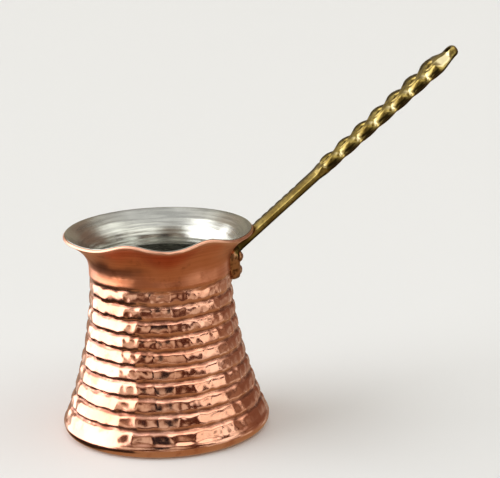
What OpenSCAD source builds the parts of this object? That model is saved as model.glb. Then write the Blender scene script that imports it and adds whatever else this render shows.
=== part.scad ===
// Coffee pot (cezve): a spun copper pot with hammered bands, a tinned inside,
// a pouring lip, and a cast brass handle held by three rivets.
// +Z is up, the origin is the centre of the base's underside,
// +X points along the handle and -Y points to the side of the pouring lip.

/* [Pot] */
// Height of the rim above the base
pot_h = 85; // [78:0.5:92]
// Outer radius at the rim
rim_r = 40; // [36:0.5:44]
// Outer radius at the neck
neck_r = 30; // [27:0.5:33]
// Depth of the neck below the rim
neck_drop = 13.6; // [11:0.2:16]
// Outer radius where the wall meets the bottom corner
belly_r = 44; // [40:0.5:48]
// Height where the wall meets the bottom corner
belly_z = 5.4; // [4:0.2:8]
// How late the wall flares out below the neck
belly_power = 1.9; // [1.4:0.1:2.6]
// How late the wall flares out above the neck
flare_power = 2.3; // [1.8:0.1:3]
// Thickness of the copper
wall_t = 1.4; // [1:0.1:1.8]
// Thickness of the tin coat
tin_t = 0.3; // [0.2:0.05:0.4]

/* [Hammered bands] */
// Number of bands below the neck
band_count = 10; // [6:1:14]
// Drop from the neck to the first groove
band_drop = 4; // [2:0.5:8]
// Depth of the grooves between the bands
groove_depth = 0.5; // [0.2:0.1:0.7]

/* [Pouring lip] */
// Angle from the handle round to the lip
lip_turn = 92; // [80:1:100]
// How far the lip stands out past the round rim
lip_reach = 2.4; // [1:0.2:5]
// How far the middle of the lip stands above the round rim
lip_lift = 1.0; // [-2:0.2:2]
// How far the rim rises on each side of the lip
flank_lift = 3.0; // [0:0.2:4]
// How far the rim is pinched in on each side of the lip
flank_pinch = 1.4; // [0:0.2:2]
// Angle from the lip to the middle of each raised flank
flank_a = 25; // [20:1:34]
// Angular spread of the lip and of its flanks
wave_a = 15; // [9:1:17]

/* [Handle] */
// Length from the root to the tip
handle_l = 127.5; // [124:0.5:150]
// Slope of the handle above level
handle_rise = 39; // [34:1:42]
// Width of the plain shank
shank_w = 7; // [6:0.2:9]
// Thickness of the plain shank
shank_t = 3.4; // [3:0.2:4]
// Length of the plain shank
shank_l = 51; // [44:1:52]
// Thickness of the grip
grip_t = 4.2; // [3.6:0.2:5]
// Grip width at its lower end, between the lobes
grip_low_w = 8; // [7:0.2:11]
// Grip width at its upper end, between the lobes
grip_high_w = 14.4; // [12:0.2:18]
// Number of lobes along each edge of the grip
lobe_count = 7; // [5:1:7]
// Distance from one lobe to the next
lobe_pitch = 9.7; // [8.5:0.1:9.8]
// How far each lobe stands out
lobe_h = 1.3; // [0.6:0.1:1.8]
// Radius of the eye at the tip
eye_r = 3.2; // [3:0.1:4.2]
// Radius of the hanging hole
hang_r = 1.5; // [1.2:0.1:1.8]

/* [Palm and rivets] */
// Depth of the middle of the palm below the rim
palm_drop = 15; // [13:0.5:17]
// Height of the palm
palm_h = 15.4; // [14:0.2:17]
// Width of the palm at its upper end
palm_w = 22; // [21:0.5:24]
// Thickness of the palm off the neck
palm_t = 3.4; // [2.4:0.2:3.6]
// Radius of the rivet shanks
rivet_r = 1.5; // [1.2:0.1:1.7]
// Radius of the rivet heads
head_r = 2.4; // [2:0.1:2.6]
// Height of the outer rivet heads
head_h = 1.5; // [0.8:0.1:1.6]
// Height of the peened ends inside the pot
peen_h = 0.8; // [0.5:0.1:1.2]
// Depth of the lower rivet below the rim
low_rivet_drop = 19; // [17:0.5:20]
// Depth of the two upper rivets below the rim
high_rivet_drop = 11.4; // [10.6:0.2:13]
// Angle of each upper rivet to the side of the handle
high_rivet_a = 11.6; // [10:0.2:13]

/* [Hidden] */

copper = [0.74, 0.40, 0.29];
tin = [0.80, 0.80, 0.78];
brass = [0.68, 0.56, 0.26];

eps = 0.01;
turn = 360;
right_angle = 90;
wall_segments = 48;
corner_steps = 4;
inner_steps = 9;
flare_steps = 7;
lip_a = -lip_turn;

neck_z = pot_h - neck_drop;
palm_z = pot_h - palm_drop;
band_top = neck_z - band_drop;
band_pitch = (band_top - belly_z) / band_count;
wall_lean = atan((belly_r - neck_r) * belly_power / (neck_z - belly_z));
corner_r = belly_z / (1 + sin(wall_lean));
corner_c = [belly_r - corner_r * cos(wall_lean), corner_r];

function clamp01(v) = min(1, max(0, v));
function bump(d, spread) = exp(-pow(d / spread, 2));
function reversed(list) = [for (i = [len(list) - 1 : -1 : 0]) list[i]];

// Outer radius of the smooth wall at height z, and its slope there
function wall_radius(z) = neck_r
    + (belly_r - neck_r) * pow(clamp01((neck_z - z) / (neck_z - belly_z)), belly_power)
    + (rim_r - neck_r) * pow(clamp01((z - neck_z) / neck_drop), flare_power);
function wall_slope(z) = (wall_radius(z + eps) - wall_radius(z - eps)) / (2 * eps);

// A point of the wall at height z, moved inwards by inset at right angles to the wall
function wall_point(z, inset) =
    let (slope = wall_slope(z), stretch = sqrt(1 + slope * slope))
    [wall_radius(z) - inset / stretch, z + inset * slope / stretch];

// The rounded bottom corner, from the flat base to the wall
function corner(inset) = [for (i = [0 : corner_steps])
    let (a = -right_angle + (right_angle + wall_lean) * i / corner_steps)
    corner_c + (corner_r - inset) * [cos(a), sin(a)]];

// The wall from the corner to the first groove, with a groove below each band
band_shape = [[0, groove_depth], [0.28, 0], [0.72, 0]];
banded_wall = [for (i = [0 : band_count - 1], s = band_shape)
    if (i > 0 || s[1] == 0) wall_point(belly_z + band_pitch * (i + s[0]), s[1])];
plain_wall_z = [for (i = [1 : inner_steps]) belly_z + (band_top - belly_z) * i / (inner_steps + 1)];
function plain_wall(inset) = [for (z = plain_wall_z) wall_point(z, inset)];

// The smooth neck and flare, from the first groove to the rim
flare_z = [for (i = [0 : flare_steps]) neck_z + neck_drop * i / flare_steps];
function flare(inset) = [for (z = flare_z) wall_point(z, inset)];

function outer_profile() =
    concat(corner(0), banded_wall, [wall_point(band_top, groove_depth)], flare(0));
function inner_profile(inset) =
    concat(corner(inset), plain_wall(inset), [wall_point(band_top, inset)], flare(inset));

// A profile point turned to angle a, with the lip and its flanks bent into the flare
function bent_point(p, a) =
    let (
        d = abs(a - lip_a) > turn / 2 ? turn - abs(a - lip_a) : abs(a - lip_a),
        weight = pow(clamp01((p[1] - neck_z) / neck_drop), flare_power / 2),
        lip = bump(d, wave_a) * weight,
        flank = bump(d - flank_a, wave_a) * weight,
        r = p[0] + lip_reach * lip - flank_pinch * flank,
        z = p[1] + lip_lift * lip + flank_lift * flank
    )
    [r * cos(a), r * sin(a), z];

// A closed solid turned from a profile that starts and ends on the pot's axis
module turned(profile) {
    n = wall_segments;
    rings = len(profile) - 2;
    first = [0, 0, profile[0][1]];
    last = [0, 0, profile[rings + 1][1]];
    ring_points = [for (k = [1 : rings], j = [0 : n - 1])
        bent_point(profile[k], lip_a + turn * j / n)];
    function at(k, j) = 1 + k * n + j % n;
    start_fan = [for (j = [0 : n - 1]) [0, at(0, j), at(0, j + 1)]];
    lower_halves = [for (k = [0 : rings - 2], j = [0 : n - 1])
        [at(k, j), at(k + 1, j), at(k + 1, j + 1)]];
    upper_halves = [for (k = [0 : rings - 2], j = [0 : n - 1])
        [at(k, j), at(k + 1, j + 1), at(k, j + 1)]];
    end_fan = [for (j = [0 : n - 1]) [1 + rings * n, at(rings - 1, j + 1), at(rings - 1, j)]];
    polyhedron(
        concat([first], ring_points, [last]),
        concat(start_fan, lower_halves, upper_halves, end_fan),
        convexity = 6);
}

// The whole space inside the pot's outer surface
module pot_blank() {
    turned(concat([[0, 0]], outer_profile(), [[0, pot_h]]));
}

// A shell between two surfaces that lie outer_inset and inner_inset inside the smooth wall
module shell(outer, outer_inset, inner_inset) {
    turned(concat([[0, outer_inset]], outer, reversed(inner_profile(inner_inset)), [[0, inner_inset]]));
}

// Where each rivet goes: its angle about the pot and its height
low_rivet = [0, pot_h - low_rivet_drop];
near_rivet = [-high_rivet_a, pot_h - high_rivet_drop];
far_rivet = [high_rivet_a, pot_h - high_rivet_drop];

neck_fit = 0.6;
palm_face_r = neck_r + neck_fit + palm_t;
peen_gap = 0.3;
peen_taper = 0.7;
peen_face_r = neck_r - wall_t - tin_t - peen_gap;
round_fn = 48;

// Places its children with +Z pointing straight out of the pot, starting at distance r
module at_rivet(place, r) {
    rotate([0, 0, place[0]]) translate([r, 0, place[1]]) rotate([0, right_angle, 0]) children();
}

module rivet_holes() {
    for (place = [low_rivet, near_rivet, far_rivet])
        at_rivet(place, peen_face_r - peen_h) cylinder(h = 2 * rim_r - neck_r, r = rivet_r, $fn = round_fn);
}

module rivet(place) {
    dome_r = (head_r * head_r + head_h * head_h) / (2 * head_h);
    color(brass) union() {
        at_rivet(place, peen_face_r)
            cylinder(h = palm_face_r - peen_face_r, r = rivet_r, $fn = round_fn);
        at_rivet(place, peen_face_r - peen_h)
            cylinder(h = peen_h, r1 = head_r * peen_taper, r2 = head_r, $fn = round_fn);
        at_rivet(place, palm_face_r) intersection() {
            translate([0, 0, head_h - dome_r]) sphere(r = dome_r, $fn = round_fn);
            cylinder(h = 2 * head_h, r = head_r, $fn = round_fn);
        }
    }
}

module pot_body() {
    color(copper) difference() {
        shell(outer_profile(), 0, wall_t);
        rivet_holes();
    }
}

module tin_lining() {
    color(tin) difference() {
        shell(inner_profile(wall_t), wall_t, wall_t + tin_t);
        rivet_holes();
    }
}

// The palm's outline: a shield, wide at the top and round at the bottom
palm_steps = 36;
palm_taper = 0.22;
palm_square = 0.6;
function squared(v) = sign(v) * pow(abs(v), palm_square);
function shield_point(a) =
    let (up = squared(sin(a)), out = squared(cos(a)))
    [palm_z + palm_h / 2 * up, palm_w / 2 * out * (1 - palm_taper * (1 - up))];

module palm() {
    intersection() {
        rotate([0, right_angle, 0]) mirror([1, 0, 0])
            linear_extrude(height = palm_face_r + palm_t)
                polygon([for (i = [0 : palm_steps - 1]) shield_point(turn * (i + 0.5) / palm_steps)]);
        cylinder(h = pot_h, r = palm_face_r, $fn = 2 * round_fn);
    }
}

// Half width of the handle at distance s from its root
grip_l = lobe_pitch * lobe_count;
grip_end = shank_l + grip_l;
eye_s = handle_l - eye_r;
function lobe(s) = lobe_h * abs(sin(turn / 2 * (s - shank_l) / lobe_pitch));
function grip_half(s) =
    (grip_low_w + (grip_high_w - grip_low_w) * (s - shank_l) / grip_l) / 2 + lobe(s);
function tip_half(s) =
    let (taper = (1 + cos(turn / 2 * (s - grip_end) / (eye_s - grip_end))) / 2)
    eye_r + (grip_high_w / 2 - eye_r) * taper;

steps_per_lobe = 8;
tip_steps = 8;
grip_side = concat(
    [for (i = [0 : steps_per_lobe * lobe_count])
        let (s = shank_l + lobe_pitch * i / steps_per_lobe) [s, grip_half(s)]],
    [for (i = [1 : tip_steps]) let (s = grip_end + (eye_s - grip_end) * i / tip_steps) [s, tip_half(s)]]);
grip_outline = concat(grip_side, [for (p = reversed(grip_side)) [p[0], -p[1]]]);

// The root lies on the palm's face, just under the flare
root_gap = 2;
root_drop = 10;
root_x = neck_r + root_gap;
root_z = pot_h - root_drop;
shank_overlap = 1;
shank_sunk = root_gap + palm_t;

module handle_bar() {
    translate([root_x, 0, root_z]) rotate([0, -handle_rise, 0]) {
        translate([-shank_sunk, -shank_w / 2, -shank_t / 2])
            cube([shank_sunk + shank_l + shank_overlap, shank_w, shank_t]);
        translate([0, 0, -grip_t / 2]) linear_extrude(height = grip_t) polygon(grip_outline);
        translate([eye_s, 0, -grip_t / 2]) cylinder(h = grip_t, r = eye_r, $fn = round_fn);
    }
}

module hang_hole() {
    translate([root_x, 0, root_z]) rotate([0, -handle_rise, 0])
        translate([eye_s, 0, -grip_t]) cylinder(h = 2 * grip_t, r = hang_r, $fn = round_fn);
}

module handle() {
    color(brass) difference() {
        union() {
            palm();
            handle_bar();
        }
        pot_blank();
        rivet_holes();
        hang_hole();
    }
}

pot_body();
tin_lining();
handle();
rivet(low_rivet);  // rivet_low
rivet(near_rivet);  // rivet_near
rivet(far_rivet);  // rivet_far
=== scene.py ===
"""Looks for a hammered copper coffee pot (cezve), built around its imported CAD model.

Shapes are worked out in millimetres, in the CAD frame: +Z up, the origin under the
middle of the base, +X along the handle, -Y out through the pouring lip.
Meshes are stored in metres.
"""

import math

import bmesh
import bpy
import numpy as np
from mathutils import Matrix, Vector


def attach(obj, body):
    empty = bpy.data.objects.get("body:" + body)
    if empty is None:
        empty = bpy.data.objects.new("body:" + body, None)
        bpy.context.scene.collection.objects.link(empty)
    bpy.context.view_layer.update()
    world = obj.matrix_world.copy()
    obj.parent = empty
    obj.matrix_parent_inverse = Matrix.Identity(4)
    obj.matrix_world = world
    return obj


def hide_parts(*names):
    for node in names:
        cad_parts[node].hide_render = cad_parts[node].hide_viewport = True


MM = 0.001
TURN = 2 * math.pi

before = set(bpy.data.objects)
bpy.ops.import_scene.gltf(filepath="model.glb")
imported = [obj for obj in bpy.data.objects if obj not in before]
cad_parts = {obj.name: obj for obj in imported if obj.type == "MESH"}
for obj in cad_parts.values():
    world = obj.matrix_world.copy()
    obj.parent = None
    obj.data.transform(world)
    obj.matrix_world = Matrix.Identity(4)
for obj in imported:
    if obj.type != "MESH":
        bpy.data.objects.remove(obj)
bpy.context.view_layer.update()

# ---------------------------------------------------------------- sizes, as in the CAD model
POT_H, RIM_R = 85.0, 40.0
NECK_R, NECK_DROP = 30.0, 13.6
BELLY_R, BELLY_Z, BELLY_POWER = 44.0, 5.4, 1.9
FLARE_POWER = 2.3
WALL_T, TIN_T = 1.4, 0.3
BAND_COUNT, BAND_DROP, GROOVE_DEPTH = 10, 4.0, 0.5
LIP_TURN, LIP_REACH, LIP_LIFT = 92.0, 2.4, 1.0
FLANK_LIFT, FLANK_PINCH, FLANK_A, WAVE_A = 3.0, 1.4, 25.0, 15.0

HANDLE_L, HANDLE_RISE = 127.5, 39.0
SHANK_W, SHANK_T, SHANK_L = 7.0, 3.4, 51.0
GRIP_T, GRIP_LOW_W, GRIP_HIGH_W = 4.2, 8.0, 14.4
LOBE_COUNT, LOBE_PITCH, LOBE_H = 7, 9.7, 1.3
EYE_R, HANG_R = 3.2, 1.5
ROOT_X, ROOT_Z = 32.0, 75.0

PALM_Z, PALM_H, PALM_W, PALM_FACE_R = 70.0, 15.4, 22.0, 34.0
PALM_TAPER, PALM_SQUARE = 0.22, 0.6
RIVET_R, HEAD_R, HEAD_H, PEEN_H, PEEN_FACE_R = 1.5, 2.4, 1.5, 0.8, 28.0
RIVETS = {"rivet_low": (0.0, 66.0), "rivet_near": (-11.6, 73.6), "rivet_far": (11.6, 73.6)}

NECK_Z = POT_H - NECK_DROP
BAND_TOP = NECK_Z - BAND_DROP
BAND_PITCH = (BAND_TOP - BELLY_Z) / BAND_COUNT
WALL_LEAN = math.atan((BELLY_R - NECK_R) * BELLY_POWER / (NECK_Z - BELLY_Z))
CORNER_R = BELLY_Z / (1 + math.sin(WALL_LEAN))
CORNER_X = BELLY_R - CORNER_R * math.cos(WALL_LEAN)
EYE_S = HANDLE_L - EYE_R
TIP_S = SHANK_L + LOBE_PITCH * (LOBE_COUNT - 0.5)

# ---------------------------------------------------------------- sizes only the looks have
COLS, BAND_ROWS, FACETS = 400, 13, 29
ROLLED_DEPTH, ROLLED_W = GROOVE_DEPTH * 1.35, 0.85
DENT_COUNT, DENT_DEPTH = 60, 0.050
PLAIT_SUNK = 0.85
NICK_PITCH, NICK_DEPTH, NICK_FROM, NICK_TO = 3.9, 0.55, 8, 38
CAST_GRAIN = 0.28


# ---------------------------------------------------------------- camera
def place_camera():
    """The photograph's viewpoint: a little above the rim, the lip turned slightly right."""
    where = Vector((-102.6, -730.0, 274.6)) * MM
    aim = Vector((41.3, 10.7, 76.0)) * MM
    roll = math.radians(-1.94)
    back = (where - aim).normalized()
    right = Vector((0, 0, 1)).cross(back).normalized()
    up = back.cross(right)
    turned_right = right * math.cos(roll) + up * math.sin(roll)
    turned_up = up * math.cos(roll) - right * math.sin(roll)
    cam = bpy.data.objects.new("camera", bpy.data.cameras.new("camera"))
    cam.data.sensor_width = 36.0
    cam.data.lens = 130.0
    cam.data.clip_start, cam.data.clip_end = 0.05, 20.0
    axes = Matrix((turned_right, turned_up, back)).transposed().to_4x4()
    cam.matrix_world = Matrix.Translation(where) @ axes
    bpy.context.scene.collection.objects.link(cam)
    bpy.context.scene.camera = cam


# ---------------------------------------------------------------- helpers
def smooth_step(x):
    """0 below 0, 1 above 1, smooth between."""
    x = np.clip(x, 0, 1)
    return x * x * (3 - 2 * x)


def add_marks(mesh, marks):
    """Stores named values for each point, which the materials read."""
    for key, values in marks.items():
        layer = mesh.attributes.new(key, "FLOAT", "POINT")
        layer.data.foreach_set("value", np.asarray(values, np.float32))


def add_mesh(name, points, faces, marks=None):
    """A smooth-shaded object from points in millimetres. marks are named values per point."""
    mesh = bpy.data.meshes.new(name)
    mesh.from_pydata((np.asarray(points) * MM).tolist(), [], [list(f) for f in faces])
    add_marks(mesh, marks or {})
    mesh.polygons.foreach_set("use_smooth", [True] * len(mesh.polygons))
    mesh.update()
    obj = bpy.data.objects.new(name, mesh)
    bpy.context.scene.collection.objects.link(obj)
    return obj


def grid_faces(rows, cols, start=0):
    """Quads between rows of points that each run once round."""
    k, j = np.meshgrid(np.arange(rows - 1), np.arange(cols), indexing="ij")
    nxt = (j + 1) % cols
    quads = np.stack([k * cols + j, k * cols + nxt, (k + 1) * cols + nxt, (k + 1) * cols + j], -1)
    return (quads.reshape(-1, 4) + start).tolist()


def closed_lathe(rings, marks):
    """Points and faces of a solid: rings (rows x cols x 3) with a point closing each end."""
    rows, cols = rings.shape[:2]
    first, last = rings[0].mean(0), rings[-1].mean(0)
    points = np.vstack([first[None], rings.reshape(-1, 3), last[None]])
    faces = [(0, 1 + (j + 1) % cols, 1 + j) for j in range(cols)]
    faces += grid_faces(rows, cols, 1)
    end, base = len(points) - 1, 1 + (rows - 1) * cols
    faces += [(end, base + j, base + (j + 1) % cols) for j in range(cols)]
    full = {}
    for key, values in marks.items():
        full[key] = np.concatenate([[values[0].mean()], values.ravel(), [values[-1].mean()]])
    return points, faces, full


# ---------------------------------------------------------------- the pot's wall
def wall_radius(z):
    """Outer radius of the smooth wall at height z."""
    low = np.clip((NECK_Z - z) / (NECK_Z - BELLY_Z), 0, 1)
    high = np.clip((z - NECK_Z) / NECK_DROP, 0, 1)
    return (NECK_R + (BELLY_R - NECK_R) * low**BELLY_POWER
            + (RIM_R - NECK_R) * high**FLARE_POWER)


def wall_frame(z):
    """Radius and height of the wall, and its outward direction there."""
    step = 0.01
    slope = (wall_radius(z + step) - wall_radius(z - step)) / (2 * step)
    if np.isscalar(z) and z >= POT_H:
        slope = (RIM_R - NECK_R) * FLARE_POWER / NECK_DROP
    size = np.sqrt(1 + slope * slope)
    return wall_radius(z), z, 1 / size, -slope / size


def bend(r, z, theta):
    """Turns (r, z) to the angle theta, with the pouring lip and its flanks bent in."""
    away = np.abs((np.degrees(theta) + LIP_TURN + 180) % 360 - 180)
    weight = np.clip((z - NECK_Z) / NECK_DROP, 0, 1) ** (FLARE_POWER / 2)
    lip = np.exp(-((away / WAVE_A) ** 2)) * weight
    flank = np.exp(-(((away - FLANK_A) / WAVE_A) ** 2)) * weight
    out = r + LIP_REACH * lip - FLANK_PINCH * flank
    lift = z + LIP_LIFT * lip + FLANK_LIFT * flank
    return np.stack([out * np.cos(theta), out * np.sin(theta), lift], -1)


# ---------------------------------------------------------------- hammering
rng = np.random.default_rng(12)
DENTS = [(rng.integers(14, 48) * rng.choice((-1, 1)), rng.uniform(-1.1, 1.1), rng.uniform(0, TURN))
         for _ in range(DENT_COUNT)]


def dents(z, theta):
    """Small uneven dents left by the hammer, in millimetres, about nought."""
    total = sum(np.cos(m * theta + k * z + a) for m, k, a in DENTS)
    return DENT_DEPTH * total / math.sqrt(DENT_COUNT / 2)


def hammered(z, theta):
    """How far the hammered bands lie under the smooth wall at height z, round the pot."""
    place = (z - BELLY_Z) / BAND_PITCH
    band = int(np.clip(math.floor(place), 0, BAND_COUNT - 1))
    t = place - band
    edges, heights, tips, dishes, slants, crowns = BANDS[band]
    edge = edges + slants * (t - 0.5)
    spot = np.searchsorted(edge, theta % TURN, side="right") - 1
    here = spot % FACETS
    after = (here + 1) % FACETS
    start = edge[here]
    width = (edge[after] - start) % TURN
    u = ((theta % TURN) - start) % TURN / width
    chord = (width * wall_radius(z)) ** 2 / (8 * wall_radius(z))
    tipped = heights + tips * (t - 0.5)
    ridge = tipped[here] * (1 - u) + tipped[after] * u
    dish = dishes[here] * chord * 4 * u * (1 - u)
    crown = crowns[here] * (2 * t - 1) ** 2
    return ridge + dish + crown + dents(z, theta)


def groove_shape(z, theta):
    """Depth of the turned grooves between bands at height z, and how deep in one it is (0 to 1)."""
    place = (z - BELLY_Z) / BAND_PITCH
    nearest = int(np.clip(round(place), 1, BAND_COUNT))
    apart = (place - nearest) * BAND_PITCH
    wander = 0.25 * np.sin(3 * theta + nearest) + 0.15 * np.sin(7 * theta + 2.1 * nearest)
    wander = wander + 0.25 * np.sin(17 * theta + 4.3 * nearest)
    wander = wander + 0.2 * np.sin(29 * theta + 1.7 * nearest**2)
    beaten = 0.78 + 0.22 * np.sin(11 * theta + 5.1 * nearest) * np.sin(23 * theta + 2.9 * nearest)
    deep = beaten * np.exp(-(((apart + 0.45 * wander) / ROLLED_W) ** 2))
    # the topmost grooves are rolled more lightly
    full = {BAND_COUNT: 0.55, BAND_COUNT - 1: 0.8}.get(nearest, 1.0)
    return ROLLED_DEPTH * full * deep, full * deep


def make_bands():
    """Each band's facets: where they start, how high, tipped and dished they are, and how they slant."""
    bands = []
    for i in range(BAND_COUNT):
        shifts = 0.5 + 0.13 * rng.standard_normal(FACETS) + 0.12 * math.sin(i * 2.4)
        edges = np.sort((np.arange(FACETS) + shifts) * TURN / FACETS)
        heights = 0.07 + 0.06 * rng.standard_normal(FACETS)
        tips = 0.16 * rng.standard_normal(FACETS)
        dishes = 0.75 + 0.55 * rng.random(FACETS)
        slants = 0.16 * rng.standard_normal(FACETS) * TURN / FACETS
        crowns = 0.22 + 0.16 * rng.random(FACETS)
        bands.append((edges, heights, tips, dishes, slants, crowns))
    return bands


BANDS = make_bands()
THETA = np.arange(COLS) * TURN / COLS


def copper_rows():
    """Rows of the copper shell from the middle of the base, out, up and over the rim, and in."""
    rows = []
    none = np.zeros(COLS)

    def row(r, z, groove=none, flare=none, edge=none):
        rows.append((r, z, groove, flare, edge))

    for r in (3, 8, 14, 20, 26, 32, 37):
        row(none + r, none)
    for i in range(9):
        a = -math.pi / 2 + (math.pi / 2 + WALL_LEAN) * i / 8
        row(none + CORNER_X + CORNER_R * math.cos(a), none + CORNER_R + CORNER_R * math.sin(a))
    for i in range(1, BAND_COUNT * BAND_ROWS + 1):
        z = BELLY_Z + BAND_PITCH * i / BAND_ROWS
        r0, z0, nr, nz = wall_frame(z)
        cut, deep = groove_shape(z, THETA)
        fade = smooth_step((z - BELLY_Z) / 2.0) * (1 - smooth_step((z - BAND_TOP + 1.5) / 1.5))
        under = cut + fade * hammered(min(z, BAND_TOP - 1e-6), THETA)
        row(r0 - under * nr, z0 - under * nz, groove=deep + none)
    for i in range(1, 11):
        z = BAND_TOP + BAND_DROP * i / 10
        r0, z0, nr, nz = wall_frame(z)
        cut, deep = groove_shape(z, THETA)
        flare = smooth_step((z - BAND_TOP) / 2.0)
        row(r0 - cut * nr, z0 - cut * nz, groove=deep + none, flare=none + flare)
    for i in range(1, 25):
        z = NECK_Z + NECK_DROP * i / 24
        r0, z0, nr, nz = wall_frame(float(z))
        row(none + r0, none + z0, flare=none + 1, edge=none + smooth_step((i - 21) / 3))
    # over the rolled edge of the rim, then down the inside
    r0, z0, nr, nz = wall_frame(POT_H)
    for i in range(1, 7):
        a = math.pi * i / 7
        inset, rise = WALL_T / 2 * (1 - math.cos(a)), 0.3 * math.sin(a)
        row(none + r0 - inset * nr - rise * nz, none + z0 - inset * nz + rise * nr,
            flare=none + 1, edge=none + 1)
    for z in np.concatenate([np.linspace(POT_H, NECK_Z, 14), np.linspace(NECK_Z, BELLY_Z, 16)[1:]]):
        r0, z0, nr, nz = wall_frame(float(z))
        row(none + r0 - WALL_T * nr, none + z0 - WALL_T * nz)
    for i in range(5):
        a = WALL_LEAN - (math.pi / 2 + WALL_LEAN) * (i + 1) / 5
        row(none + CORNER_X + (CORNER_R - WALL_T) * math.cos(a),
            none + CORNER_R + (CORNER_R - WALL_T) * math.sin(a))
    for r in (28, 14, 4):
        row(none + r, none + WALL_T)
    return rows


def shell_object(name, rows, keys):
    """An object from rows of radius, height and marks. keys names the marks."""
    rings = np.stack([bend(r, z, THETA) for r, z, *_ in rows])
    marks = {key: np.stack([entry[2 + n] for entry in rows]) for n, key in enumerate(keys)}
    points, faces, full = closed_lathe(rings, marks)
    return add_mesh(name, points, faces, full)


def make_copper():
    return shell_object("copper_pot", copper_rows(), ("groove", "flare", "edge"))


def make_tin():
    """The wiped tin coat: its face to the copper, its rim, and the inside of the pot."""
    rows = []
    none = np.zeros(COLS)
    inset = WALL_T + TIN_T

    def row(r, z):
        rows.append((none + r, none + z))

    for r in (4, 14, 28):
        row(r, WALL_T + 0.01)
    for i in range(5):
        a = -math.pi / 2 + (math.pi / 2 + WALL_LEAN) * i / 5
        row(CORNER_X + (CORNER_R - WALL_T) * math.cos(a), CORNER_R + (CORNER_R - WALL_T) * math.sin(a))
    for z in np.concatenate([np.linspace(BELLY_Z, NECK_Z, 16), np.linspace(NECK_Z, POT_H, 14)[1:]]):
        r0, z0, nr, nz = wall_frame(float(z))
        row(r0 - WALL_T * nr, z0 - WALL_T * nz)
    r0, z0, nr, nz = wall_frame(POT_H)
    for i in range(1, 4):
        a = math.pi * i / 4
        depth, rise = WALL_T + TIN_T / 2 * (1 - math.cos(a)), 0.12 * math.sin(a)
        row(r0 - depth * nr - rise * nz, z0 - depth * nz + rise * nr)
    for z in np.concatenate([np.linspace(POT_H, NECK_Z, 46), np.linspace(NECK_Z, BELLY_Z, 90)[1:]]):
        r0, z0, nr, nz = wall_frame(float(z))
        spun = 0.035 * math.sin(z * 2.1) + 0.02 * math.sin(z * 4.7 + 1)
        pressed = 0
        if z < BAND_TOP:
            pressed = 0.12 * math.exp(-(((z - BELLY_Z) / BAND_PITCH % 1 - 0.5) / 0.3) ** 2)
        push = inset + (spun - pressed) * smooth_step((POT_H - z) / 1.5) * smooth_step((z - BELLY_Z) / 2)
        row(r0 - push * nr, z0 - push * nz)
    for i in range(8):
        a = WALL_LEAN - (math.pi / 2 + WALL_LEAN) * (i + 1) / 8
        row(CORNER_X + (CORNER_R - inset) * math.cos(a), CORNER_R + (CORNER_R - inset) * math.sin(a))
    for r in (36, 32, 28, 24, 20, 16, 12, 8, 4, 1.5):
        row(r, inset)
    return shell_object("tin_coat", rows, ())


# ---------------------------------------------------------------- the handle
# s is always the distance along it from its root, y the distance across it
def grip_centre_half(s):
    """Half width of the grip at s between its lobes."""
    share = (s - SHANK_L) / (LOBE_PITCH * LOBE_COUNT)
    return (GRIP_LOW_W + (GRIP_HIGH_W - GRIP_LOW_W) * share) / 2


def half_width(s):
    """Half width of the handle at s from its root: shank, lobed grip, leaf tip, round end."""
    if s < SHANK_L:
        swell = smooth_step((s - SHANK_L + 4) / 4)
        base = SHANK_W / 2 + (GRIP_LOW_W - SHANK_W) / 2 * swell
        return base + 0.9 * math.exp(-(((s + 0.5) / 3.0) ** 2))
    if s < TIP_S:
        wave = abs(math.sin(math.pi * (s - SHANK_L) / LOBE_PITCH))
        return grip_centre_half(s) + LOBE_H * wave
    if s < EYE_S:
        u = (s - TIP_S) / (EYE_S - TIP_S)
        taper = (math.cos(math.pi / 2 * u) + (1 + math.cos(math.pi * u)) / 2) / 2
        return EYE_R + (grip_centre_half(TIP_S) + LOBE_H - EYE_R) * taper
    return math.sqrt(max(EYE_R**2 - (s - EYE_S) ** 2, 0.0))


def half_widths(s):
    """half_width for an array of places, read off a fine table of it."""
    places = np.linspace(0, HANDLE_L, 800)
    return np.interp(s, places, [half_width(v) for v in places])


def half_thick(s):
    """Half thickness of the handle at s, without its relief."""
    return (SHANK_T + (GRIP_T - SHANK_T) * smooth_step((s - SHANK_L + 5) / 6)) / 2


def off_notch(s):
    """How far s is from the nearest notch between two lobes, in lobes."""
    return ((s - SHANK_L) / LOBE_PITCH + 0.5) % 1 - 0.5


def strand(s, y, side):
    """Height of one strand of the plait over the grip's sunk face, and of the groove down its middle."""
    phase = math.pi * (s - SHANK_L) / LOBE_PITCH
    half = grip_centre_half(s) + LOBE_H * np.abs(np.sin(phase))
    reach = 0.60 * (grip_centre_half(s) + LOBE_H)
    middle = side * reach * np.sin(phase)
    steep = side * reach * np.cos(phase) * math.pi / LOBE_PITCH
    width = 0.40 * half
    q = (y - middle) / np.sqrt(1 + steep * steep) / width
    dome = np.sqrt(np.clip(1 - np.abs(q) ** 2.4, 0, 1))
    rib = 0.55 * np.exp(-((q / 0.2) ** 2))
    over = 0.45 * side * np.cos(phase)
    swell = 0.40 * np.sin(phase) ** 2
    return np.where(np.abs(q) < 1, dome * (1.15 + over + swell - rib), 0.0), rib


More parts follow.
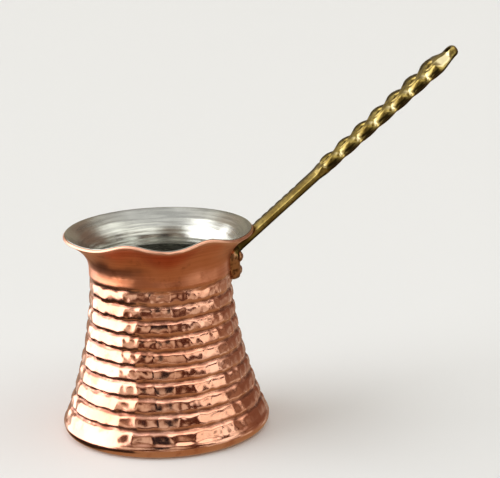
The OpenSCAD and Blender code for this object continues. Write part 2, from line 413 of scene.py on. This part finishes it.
def relief(s, y):
    """The cast top face: its height over the middle plane, its painted shade in the hollows and its painted
    highlight on the filed faces.
    """
    s, y = np.asarray(s, float), np.asarray(y, float)
    on_grip = smooth_step((s - SHANK_L - 0.3) / 1.5) * (1 - smooth_step((s - TIP_S - 0.4) / 3.0))
    (one, one_rib), (other, other_rib) = strand(s, y, 1), strand(s, y, -1)
    plait, rib = np.maximum(one, other), np.where(one > other, one_rib, other_rib)
    on_shank = smooth_step((s - 2) / 5) * (1 - smooth_step((s - SHANK_L + 4) / 4))
    height = half_thick(s) + on_grip * (plait - PLAIT_SUNK) - on_shank * 0.3 * np.clip(-y - 0.3, 0, 9)
    # a filed notch between two lobes, deeper on the edge toward the pouring lip
    notch = on_grip * np.exp(-((off_notch(s) / 0.14) ** 2))
    slope = np.clip(np.abs(y) / grip_centre_half(s) - 0.55, 0, 1)
    height = height - notch * 3.0 * slope * np.where(y > 0, 0.4, 1.0)
    # the leaf-shaped tip, bevelled like the notches, and a low swell that carries the last lobe into it
    on_tip = smooth_step((s - TIP_S - 0.5) / 3) * (1 - smooth_step((s - HANDLE_L + 6.0) / 3.0))
    bevel = np.clip(np.abs(y) / np.maximum(half_widths(s), 1.0) - 0.35, 0, 1)
    height = height - on_tip * 4.0 * bevel * np.where(y > 0, 0.3, 1.0)
    height = height + 0.9 * np.exp(-(((s - TIP_S - 3.6) / 2.5) ** 2))
    # painted highlight: the filed faces of the notches and the near bevel of the tip get a bright base
    # colour
    filed_highlight = np.maximum(0.9 * notch * smooth_step(slope / 0.15), on_tip * smooth_step(bevel / 0.12) * (y < 0))
    # a painted shade line along the crease beside the tip's near bevel
    crease_shade = on_tip * np.exp(-(((bevel - 0.01) / 0.06) ** 2)) * (bevel > 0) * (y < 0)
    # painted shade in the plait's hollows and down the strands' ribs, except on filed faces
    hollow_shade = on_grip * np.clip(1 - plait / 0.9 + 0.9 * rib * (plait > 0), 0, 1) * (1 - filed_highlight)
    return height, np.maximum(hollow_shade, 0.8 * crease_shade), filed_highlight


def handle_frame(points):
    """From handle coordinates (along, across, up) to the pot's own, in millimetres."""
    rise = math.radians(HANDLE_RISE)
    c, s = math.cos(rise), math.sin(rise)
    p = np.asarray(points, float)
    return np.stack([ROOT_X + p[:, 0] * c - p[:, 2] * s, p[:, 1], ROOT_Z + p[:, 0] * s + p[:, 2] * c], -1)


def to_handle(points):
    """From the pot's coordinates to the handle's, for points in an array of any shape."""
    rise = math.radians(HANDLE_RISE)
    c, s = math.cos(rise), math.sin(rise)
    p = np.asarray(points, float) - np.array([ROOT_X, 0, ROOT_Z])
    return np.stack([p[..., 0] * c + p[..., 2] * s, p[..., 1], -p[..., 0] * s + p[..., 2] * c], -1)


def bar_points():
    """The handle's bar as rings across it, in handle coordinates."""
    across, side, under = 70, 9, 18
    tail = [EYE_S + EYE_R * math.sin(a) for a in np.linspace(0, math.pi / 2 * 0.985, 22)[1:]]
    stations = list(np.arange(-1.4, EYE_S, 0.3)) + [EYE_S] + tail
    rings = []
    for s in stations:
        w, thick = max(half_width(s), 0.12), half_thick(s)
        on_grip = smooth_step((s - SHANK_L) / 2) * (1 - smooth_step((s - TIP_S) / 3))
        soft = min(0.55 + 1.1 * on_grip, w * 0.5)
        a = np.linspace(-1, 1, across)
        y = w * np.sin(a * math.pi / 2)
        top = relief(np.full(across, s), y)[0]
        if NICK_FROM < s < NICK_TO:
            # small filed nicks along both upper edges of the shank
            nick = np.exp(-((((s / NICK_PITCH) % 1) - 0.5) / 0.13) ** 2) * NICK_DEPTH
            near_edge = np.clip((np.abs(y) - w + 1.3) / 1.3, 0, 1)
            top = top - nick * near_edge * np.where(y > 0, 1.0, 0.45)
        # rounded upper edges, a rounded end, and sides that swell a little
        lip = np.clip((np.abs(y) - (w - soft)) / soft, 0, 1)
        top = top - soft * (1 - np.sqrt(1 - lip**2 * 0.98))
        round_off = math.sqrt(1 - 0.8 * float(np.clip((s - HANDLE_L + 1.8) / 1.8, 0, 1)) ** 2)
        top, thick = top * round_off, thick * round_off
        edge_high, edge_low = top[-1], -thick + soft * 0.8
        belly = min(0.5, w * 0.3) * smooth_step((s - SHANK_L) / 3)
        swell = [belly * (math.sin(math.pi * i / side) - 1) for i in range(side + 1)]
        ring = [(s, yy * (1 - belly / w), hh) for yy, hh in zip(y, top)]
        ring += [(s, w + swell[i], edge_high + (edge_low - edge_high) * i / side) for i in range(1, side)]
        yb = np.linspace(1, -1, under)
        lip = np.clip((np.abs(yb * w) - (w - soft)) / soft, 0, 1)
        low = -thick + soft * 0.8 * (1 - np.sqrt(1 - lip**2))
        ring += [(s, yy * (w - belly), hh) for yy, hh in zip(yb, low)]
        ring += [(s, -w - swell[i], edge_low + (top[0] - edge_low) * i / side) for i in range(1, side)]
        rings.append(ring)
    return np.array(rings)


def palm_points():
    """The shield-shaped palm that lies on the neck, in the pot's coordinates."""
    spokes, steps = 96, 16
    angle = (np.arange(spokes) + 0.5) * TURN / spokes

    def squared(v):
        return np.sign(v) * np.abs(v) ** PALM_SQUARE

    up, out = squared(np.sin(angle)), squared(np.cos(angle))
    edge_z = PALM_H / 2 * up
    edge_y = PALM_W / 2 * out * (1 - PALM_TAPER * (1 - up))
    front, back = [], []
    for share in np.linspace(0.06, 1, steps):
        y, z = edge_y * share, PALM_Z + edge_z * share
        pot = np.sqrt(np.maximum(wall_radius(z) ** 2 - y**2, 0))
        face = np.sqrt(PALM_FACE_R**2 - y**2)
        rounding = np.sqrt(np.clip(1 - ((share - 0.8) / 0.2) ** 2, 0, 1)) if share > 0.8 else 1.0
        thin = 0.34 + 0.66 * rounding
        x = pot + np.maximum(face - pot, 0.5) * thin
        front.append(np.stack([x, y, z], -1))
        back.append(np.stack([pot - 0.35, y, z], -1))
    return np.stack(front + back[::-1])


def recalc_outward(obj):
    """Turns every face of a closed mesh outward."""
    bm = bmesh.new()
    bm.from_mesh(obj.data)
    bmesh.ops.recalc_face_normals(bm, faces=bm.faces)
    bm.to_mesh(obj.data)
    bm.free()


def applied(obj):
    """Bakes an object's modifiers into its mesh."""
    graph = bpy.context.evaluated_depsgraph_get()
    baked = bpy.data.meshes.new_from_object(obj.evaluated_get(graph))
    old = obj.data
    obj.modifiers.clear()
    obj.data = baked
    bpy.data.meshes.remove(old)


def mesh_points(obj):
    """A mesh's points, in millimetres."""
    flat = np.zeros(len(obj.data.vertices) * 3, np.float32)
    obj.data.vertices.foreach_get("co", flat)
    return flat.reshape(-1, 3) / MM


def solid(name, rings):
    """A closed object through rings of points."""
    points, faces, _ = closed_lathe(rings, {})
    obj = add_mesh(name, points, faces)
    recalc_outward(obj)
    return obj


def drill_rings():
    """The hanging hole with softened ends, in handle coordinates."""
    a = np.arange(48) * TURN / 48
    half = GRIP_T / 2
    profile = [(HANG_R + 0.9, -3.2), (HANG_R + 0.35, -half + 0.02), (HANG_R, -half + 0.45),
               (HANG_R, half - 0.45), (HANG_R + 0.35, half - 0.02), (HANG_R + 0.9, 3.2)]
    return np.stack([np.stack([EYE_S + r * np.cos(a), r * np.sin(a), 0 * a + h], -1) for r, h in profile])


def combine(obj, operation, tool):
    """Cuts the tool from the object or joins it on, and removes the tool."""
    step = obj.modifiers.new("step", "BOOLEAN")
    step.operation, step.object, step.solver = operation, tool, "EXACT"
    applied(obj)
    bpy.data.objects.remove(tool)


def make_handle():
    obj = solid("brass_handle", bar_points())
    combine(obj, "DIFFERENCE", solid("drill", drill_rings()))
    combine(obj, "UNION", solid("palm_plate", to_handle(palm_points())))

    # one casting: the joint between bar and palm gets its fillet here
    fine = obj.modifiers.new("fine", "REMESH")
    fine.mode, fine.voxel_size, fine.use_smooth_shade = "VOXEL", CAST_GRAIN * MM, True
    soft = obj.modifiers.new("soft", "SMOOTH")
    soft.factor, soft.iterations = 0.5, 3
    applied(obj)
    own = mesh_points(obj)
    marks = handle_marks(own)
    obj.data.vertices.foreach_set("co", (handle_frame(own) * MM).astype(np.float32).ravel())
    add_marks(obj.data, marks)
    obj.data.polygons.foreach_set("use_smooth", [True] * len(obj.data.polygons))
    obj.data.update()
    return obj


def handle_marks(own):
    """Where the handle gets painted shade (hollows, hole, root, lower sides, lobe flanks, far edge, end) or
    a painted highlight (filed faces), and where the palm is, for each point.
    """
    s, y, h = own.T
    top, hollow_shade, filed_highlight = relief(s, y)
    near_top = smooth_step((h - top + 1.0) / 0.7)
    # painted shade inside the hanging hole
    in_hole = 1 - smooth_step((np.hypot(s - EYE_S, y) - HANG_R - 0.15) / 0.5)
    # painted shadow where the shank runs under the rim, lighter on the palm
    root = 0.75 * (1 - smooth_step((s - 5) / 7))
    on_palm = smooth_step((0.5 - s) / 1.5)
    on_grip = smooth_step((s - SHANK_L + 1) / 2) * (1 - smooth_step((s - TIP_S) / 2.0))
    between = np.exp(-((off_notch(s) / 0.17) ** 2))

    # painted shade: low on the sides, on the lobe flanks, over the far edge and round the end
    share = y / np.maximum(half_widths(s), 0.5)
    side = smooth_step((np.abs(share) - 0.72) / 0.12)
    low_side = side * (1 - smooth_step((h + 1.1) / 0.6))
    flank = side * (1 - smooth_step((h - 0.7 + 1.9 * between) / 0.7))
    far_edge = smooth_step((share - 0.20) / 0.16) * smooth_step((h + 1.3) / 0.8)
    end = smooth_step((s - HANDLE_L + 3.2) / 2.4) * smooth_step((share + 0.35) / 0.3)
    side_and_edge_shade = on_grip * flank * (1 - 0.7 * between) + (1 - on_grip) * low_side
    side_and_edge_shade = np.maximum(side_and_edge_shade, np.maximum(0.85 * far_edge, 0.9 * end)) * (1 - filed_highlight * near_top * (share < 0))
    return {"hollow_shade": np.clip(hollow_shade * near_top + in_hole + root * (1 - 0.8 * on_palm), 0, 1),
            "side_and_edge_shade": np.clip(side_and_edge_shade * (1 - on_palm), 0, 1),
            "filed_highlight": np.clip(filed_highlight * near_top * (1 - end), 0, 1), "palm": on_palm}


# ---------------------------------------------------------------- rivets
def make_rivet(name, angle, height, seed):
    """A rivet from its peened end inside the pot to its hammered head on the palm."""
    draw = np.random.default_rng(seed)
    a = np.arange(64) * TURN / 64
    flats = [(draw.uniform(0, TURN), draw.uniform(0.25, 0.6), draw.uniform(0.05, 0.16)) for _ in range(7)]
    rows = []
    for share in np.linspace(0.08, 1, 12):
        rows.append((PEEN_FACE_R - PEEN_H * math.sqrt(max(1 - share**2.4, 0)), HEAD_R * 0.97 * share))
    rows.append((PEEN_FACE_R + 0.3, RIVET_R))
    rows.append((PALM_FACE_R - 0.3, RIVET_R))
    rows.append((PALM_FACE_R - 0.25, HEAD_R * 0.98))
    dome_r = (HEAD_R**2 + HEAD_H**2) / (2 * HEAD_H)
    for share in np.linspace(1, 0.05, 18):
        r = HEAD_R * share
        h = math.sqrt(dome_r**2 - r * r) - (dome_r - HEAD_H) + 0 * a
        x, y = r * np.cos(a), r * np.sin(a)
        for way, lean, drop in flats:
            along = (x * math.cos(way) + y * math.sin(way)) * math.tan(lean)
            top = math.hypot(dome_r, dome_r * math.tan(lean)) - (dome_r - HEAD_H) - drop
            h = np.minimum(h, top - along)
        rows.append((PALM_FACE_R + h - 0.05, r))
    rings = np.stack([np.stack([0 * a + x, r * np.sin(a), r * np.cos(a)], -1) for x, r in rows])
    points, faces, _ = closed_lathe(rings, {})
    turn = math.radians(angle)
    c, s = math.cos(turn), math.sin(turn)
    placed = np.stack([points[:, 0] * c - points[:, 1] * s, points[:, 0] * s + points[:, 1] * c,
                       points[:, 2] + height], -1)
    obj = add_mesh(name + "_hammered", placed, faces)
    recalc_outward(obj)
    return obj


# ---------------------------------------------------------------- materials
class Nodes:
    """A small helper for writing one node tree: a new material's, or the tree it is given."""

    def __init__(self, name_or_tree):
        if isinstance(name_or_tree, str):
            self.material = bpy.data.materials.new(name_or_tree)
            self.material.use_nodes = True
            self.tree = self.material.node_tree
            self.bsdf = self.tree.nodes["Principled BSDF"]
        else:
            self.tree = name_or_tree

    def node(self, kind, **inputs):
        made = self.tree.nodes.new(kind)
        for key, value in inputs.items():
            self.put(made.inputs[key.replace("_", " ")], value)
        return made

    def put(self, socket, value):
        if isinstance(value, bpy.types.NodeSocket):
            self.tree.links.new(value, socket)
        else:
            socket.default_value = value

    def maths(self, operation, a, b=0.0, clamp=False):
        made = self.tree.nodes.new("ShaderNodeMath")
        made.operation, made.use_clamp = operation, clamp
        self.put(made.inputs[0], a)
        self.put(made.inputs[1], b)
        return made.outputs[0]

    def mix(self, share, a, b):
        made = self.tree.nodes.new("ShaderNodeMix")
        made.data_type = "RGBA"
        self.put(made.inputs["Factor"], share)
        self.put(made.inputs["A"], a)
        self.put(made.inputs["B"], b)
        return made.outputs["Result"]

    def mark(self, name):
        made = self.tree.nodes.new("ShaderNodeAttribute")
        made.attribute_type, made.attribute_name = "GEOMETRY", name
        return made.outputs["Fac"]

    def noise(self, scale, detail=3.0, stretch=(1, 1, 1), rough=0.5):
        """Noise over the object's own coordinates, which stretch multiplies."""
        where = self.tree.nodes.new("ShaderNodeTexCoord").outputs["Object"]
        placed = self.node("ShaderNodeMapping", Vector=where, Scale=stretch)
        made = self.node("ShaderNodeTexNoise", Vector=placed.outputs[0], Scale=scale, Detail=detail,
                         Roughness=rough)
        return made.outputs["Fac"]

    def ramp(self, value, low, high):
        """0 below low, 1 above high, smooth between."""
        made = self.tree.nodes.new("ShaderNodeMapRange")
        made.interpolation_type = "SMOOTHSTEP"
        self.put(made.inputs["Value"], value)
        made.inputs["From Min"].default_value, made.inputs["From Max"].default_value = low, high
        return made.outputs["Result"]

    def fall(self, value, low, high):
        """1 below low, 0 above high, smooth between."""
        return self.maths("SUBTRACT", 1.0, self.ramp(value, low, high))

    def part(self, value, low, high, most):
        """0 below low, most above high, smooth between."""
        return self.maths("MULTIPLY", self.ramp(value, low, high), most)

    def bump(self, height, distance, strength, normal=None):
        made = self.node("ShaderNodeBump", Height=height, Distance=distance, Strength=strength)
        if normal is not None:
            self.put(made.inputs["Normal"], normal)
        return made.outputs["Normal"]

    def finish(self, **inputs):
        for key, value in inputs.items():
            self.put(self.bsdf.inputs[key.replace("_", " ")], value)
        return self.material


def rgb(r, g, b):
    return (r, g, b, 1.0)


def copper_material():
    n = Nodes("hammered_copper")
    groove, flare, edge = n.mark("groove"), n.mark("flare"), n.mark("edge")
    cloud = n.noise(45.0, 3.0)
    stain = n.noise(160.0, 4.0, rough=0.6)
    lines = n.noise(60.0, 3.0, stretch=(0.6, 0.6, 22.0))
    bright = n.mix(n.ramp(cloud, 0.35, 0.65), rgb(0.88, 0.46, 0.33), rgb(0.80, 0.37, 0.24))
    bright = n.mix(n.part(stain, 0.52, 0.72, 0.45), bright, rgb(0.50, 0.15, 0.08))
    satin = n.mix(n.ramp(lines, 0.3, 0.7), rgb(0.76, 0.29, 0.15), rgb(0.64, 0.215, 0.10))
    satin = n.mix(n.part(cloud, 0.4, 0.7, 0.5), satin, rgb(0.80, 0.34, 0.21))
    satin = n.mix(n.part(stain, 0.56, 0.70, 0.55), satin, rgb(0.40, 0.12, 0.05))
    tone = n.mix(flare, bright, satin)
    # darker in the grooves, patchy with the stains: partly patina, partly painted shade
    groove_patina_and_shade = n.maths("MULTIPLY", n.ramp(groove, 0.12, 0.65), n.ramp(stain, 0.30, 0.56))
    tone = n.mix(n.maths("MULTIPLY", groove_patina_and_shade, 0.72), tone, rgb(0.15, 0.036, 0.018))
    tone = n.mix(edge, tone, rgb(0.80, 0.42, 0.29))
    rough = n.maths("ADD", 0.10, n.maths("MULTIPLY", stain, 0.10))
    rough = n.maths("ADD", rough, n.maths("MULTIPLY", groove, 0.25))
    rough = n.maths("ADD", rough, n.maths("MULTIPLY", flare, 0.18), clamp=True)
    dents = n.noise(230.0, 1.0)
    pitting = n.noise(1500.0, 2.0)
    spun = n.noise(120.0, 2.0, stretch=(0.4, 0.4, 14.0))
    shape = n.bump(dents, 0.00022, 0.5)
    shape = n.bump(pitting, 0.00002, 0.35, shape)
    shape = n.bump(n.maths("MULTIPLY", spun, flare), 0.00006, 0.5, shape)
    shape = n.bump(n.maths("MULTIPLY", n.noise(120.0, 1.5), flare), 0.0008, 0.5, shape)
    return n.finish(Base_Color=tone, Metallic=1.0, Roughness=rough, Normal=shape)


def tin_material():
    n = Nodes("wiped_tin")
    cloud = n.noise(50.0, 3.0)
    lines = n.noise(70.0, 3.0, stretch=(0.7, 0.7, 16.0))
    spots = n.noise(320.0, 4.0, rough=0.65)
    tone = n.mix(n.ramp(cloud, 0.35, 0.7), rgb(0.60, 0.60, 0.55), rgb(0.44, 0.44, 0.40))
    tone = n.mix(n.part(lines, 0.45, 0.65, 0.6), tone, rgb(0.28, 0.28, 0.26))
    tone = n.mix(n.part(spots, 0.6, 0.75, 0.35), tone, rgb(0.34, 0.33, 0.30))
    rough = n.maths("ADD", 0.17, n.maths("MULTIPLY", lines, 0.16))
    shape = n.bump(lines, 0.00010, 0.6)
    shape = n.bump(n.noise(260.0, 2.0), 0.00012, 0.4, shape)
    return n.finish(Base_Color=tone, Metallic=1.0, Roughness=rough, Normal=shape)


def brass_material():
    n = Nodes("cast_brass")
    hollow_shade, filed_highlight = n.mark("hollow_shade"), n.mark("filed_highlight")
    cloud = n.noise(110.0, 3.0)
    grime = n.noise(420.0, 4.0, rough=0.6)
    tone = n.mix(n.ramp(cloud, 0.35, 0.65), rgb(0.40, 0.30, 0.09), rgb(0.27, 0.19, 0.048))
    tone = n.mix(n.part(grime, 0.45, 0.65, 0.6), tone, rgb(0.13, 0.08, 0.018))
    # painted highlight on the filed faces
    tone = n.mix(filed_highlight, tone, rgb(0.93, 0.80, 0.46))
    # the palm darker and more coppery, mottled by the grime noise: painted shade
    palm_shade = n.mix(n.ramp(grime, 0.40, 0.60), rgb(0.50, 0.24, 0.13), rgb(0.13, 0.050, 0.022))
    tone = n.mix(n.maths("MULTIPLY", n.mark("palm"), 0.88), tone, palm_shade)
    # painted shade: the hollows, the hanging hole, the crease by the tip and the shank under the rim go dark
    dark = n.part(hollow_shade, 0.15, 0.8, 0.85)
    tone = n.mix(dark, tone, rgb(0.060, 0.038, 0.008))
    # painted shade, near black: the lower sides, the lobe flanks, the far edge and the end
    tone = n.mix(n.maths("MULTIPLY", n.mark("side_and_edge_shade"), 0.93), tone, rgb(0.022, 0.014, 0.004))
    rough = n.maths("ADD", 0.22, n.maths("MULTIPLY", grime, 0.16))
    rough = n.maths("ADD", rough, n.maths("MULTIPLY", hollow_shade, 0.25), clamp=True)
    shape = n.bump(n.noise(520.0, 3.0), 0.00018, 0.7)
    shape = n.bump(n.noise(2200.0, 2.0), 0.00003, 0.4, shape)
    return n.finish(Base_Color=tone, Metallic=1.0, Roughness=rough, Normal=shape)


def rivet_material():
    n = Nodes("rivet_brass")
    cloud = n.noise(300.0, 3.0)
    tone = n.mix(n.ramp(cloud, 0.35, 0.7), rgb(0.56, 0.30, 0.17), rgb(0.28, 0.13, 0.06))
    shape = n.bump(n.noise(900.0, 2.0), 0.00005, 0.5)
    return n.finish(Base_Color=tone, Metallic=1.0, Roughness=0.26, Normal=shape)


def floor_material():
    n = Nodes("pale_floor")
    return n.finish(Base_Color=rgb(0.74, 0.75, 0.75), Roughness=0.6)


# ---------------------------------------------------------------- stage and light
def make_floor():
    """A wide pale floor that curves up into a pale wall all round."""
    cols, flat, bend_r, rise = 96, 5.0, 1.2, 4.0
    rows = [(r, 0.0) for r in (0.1, 0.3, 0.8, 2.0, 3.5, flat)]
    rows += [(flat + bend_r * math.sin(a), bend_r - bend_r * math.cos(a))
             for a in np.linspace(0, math.pi / 2, 13)[1:]]
    rows.append((flat + bend_r, rise))
    a = np.arange(cols) * TURN / cols
    rings = [np.stack([r * np.cos(a), r * np.sin(a), 0 * a + z], -1) for r, z in rows]
    points = np.vstack([np.zeros((1, 3)), np.concatenate(rings)]) / MM
    faces = [(0, 1 + j, 1 + (j + 1) % cols) for j in range(cols)]
    faces += [f[::-1] for f in grid_faces(len(rows), cols, 1)]
    obj = add_mesh("floor", points, faces)
    obj.data.materials.append(floor_material())
    # the object reflects the painted studio, not the floor
    obj.visible_glossy = False
    obj.visible_diffuse = False
    obj.visible_shadow = False


# the painted studio. Panels and shades: turn from the camera (left is negative), height,
# both in degrees, softness, light. A later one covers the ones before it.
CAMERA_TURN = -98.0
PANELS = [
    ((-150, -40), (-50, -19), 4, (0.03, 0.018, 0.012)),
    ((-140, -61), (-17, 4), 4, (3.2, 3.2, 3.2)),
    ((-140, -54), (0, 32), 4, (3.2, 3.2, 3.2)),
    ((-116, -54), (28, 60), 4, (3.2, 3.2, 3.2)),
    ((36, 86), (-6, 30), 5, (1.45, 1.5, 1.4)),
    ((-2, 60), (36, 64), 6, (2.0, 2.0, 1.9)),
    ((66, 118), (32, 60), 6, (2.2, 2.2, 2.1)),
    ((100, 165), (-10, 40), 14, (0.22, 0.13, 0.09)),
    ((162, 200), (-8, 50), 14, (0.36, 0.32, 0.24)),
    ((-200, -152), (-8, 50), 8, (0.36, 0.32, 0.24)),
]
STREAK = ((-17, 0), (2, 33), 3, (0.012, 0.008, 0.014))
GROUND = (0.38, 0.27, 0.15)
SHADE = (0.075, 0.022, 0.010)
HAZE = (0.38, 0.28, 0.20)
GLEAM = (0.78, 0.78, 0.68)
ZENITH = (1.0, 1.0, 1.0)


def light_scene():
    """The studio, painted on the world: a patchy room, a ground, a ceiling, the panels and the streak."""
    world = bpy.data.worlds.new("studio")
    world.use_nodes = True
    n = Nodes(world.node_tree)
    where = n.tree.nodes.new("ShaderNodeTexCoord").outputs["Generated"]
    spun = n.tree.nodes.new("ShaderNodeVectorRotate")
    spun.rotation_type = "Z_AXIS"
    spun.inputs["Angle"].default_value = math.radians(-CAMERA_TURN)
    n.put(spun.inputs["Vector"], where)
    parts = n.node("ShaderNodeSeparateXYZ", Vector=spun.outputs[0]).outputs
    turn = n.maths("MULTIPLY", n.maths("ARCTAN2", parts["Y"], parts["X"]), 180 / math.pi)
    rise = n.maths("MULTIPLY", n.maths("ARCSINE", parts["Z"]), 180 / math.pi)
    patchy = n.node("ShaderNodeTexNoise", Vector=spun.outputs[0], Scale=3.4, Detail=1.0).outputs["Fac"]

    def paint(light, panel):
        (left, right), (low, high), soft, colour = panel
        inside = n.maths("MULTIPLY", n.ramp(turn, left - soft, left + soft),
                         n.fall(turn, right - soft, right + soft))
        inside = n.maths("MULTIPLY", inside, n.ramp(rise, low - soft, low + soft))
        inside = n.maths("MULTIPLY", inside, n.fall(rise, high - soft, high + soft))
        return n.mix(inside, light, rgb(*colour))

    room = n.mix(n.ramp(patchy, 0.54, 0.60), rgb(*HAZE), rgb(*GLEAM))
    light = n.mix(n.ramp(rise, -26, -20), rgb(*GROUND), room)
    light = n.mix(n.ramp(rise, 35, 75), light, rgb(*ZENITH))
    for panel in PANELS:
        light = paint(light, panel)
    in_front = n.maths("MULTIPLY", n.ramp(turn, -52, -46), n.fall(turn, 92, 98))
    level = n.maths("MULTIPLY", n.ramp(rise, -20, -14), n.fall(rise, 34, 42))
    speckled = n.maths("MULTIPLY", in_front, level)
    shade = n.maths("MULTIPLY", speckled, n.fall(patchy, 0.44, 0.49))
    light = paint(n.mix(shade, light, rgb(*SHADE)), STREAK)
    n.put(world.node_tree.nodes["Background"].inputs["Color"], light)
    bpy.context.scene.world = world
    bpy.context.scene.view_settings.view_transform = "Standard"


# ---------------------------------------------------------------- put together
def finish_piece(obj, node, material):
    obj.data.materials.clear()
    obj.data.materials.append(material)
    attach(obj, "root")
    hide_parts(node)


place_camera()
finish_piece(make_copper(), "pot_body", copper_material())
finish_piece(make_tin(), "tin_lining", tin_material())
finish_piece(make_handle(), "handle", brass_material())
head_material = rivet_material()
for order, (name, (angle, height)) in enumerate(RIVETS.items()):
    finish_piece(make_rivet(name, angle, height, 40 + order), name, head_material)
make_floor()
light_scene()
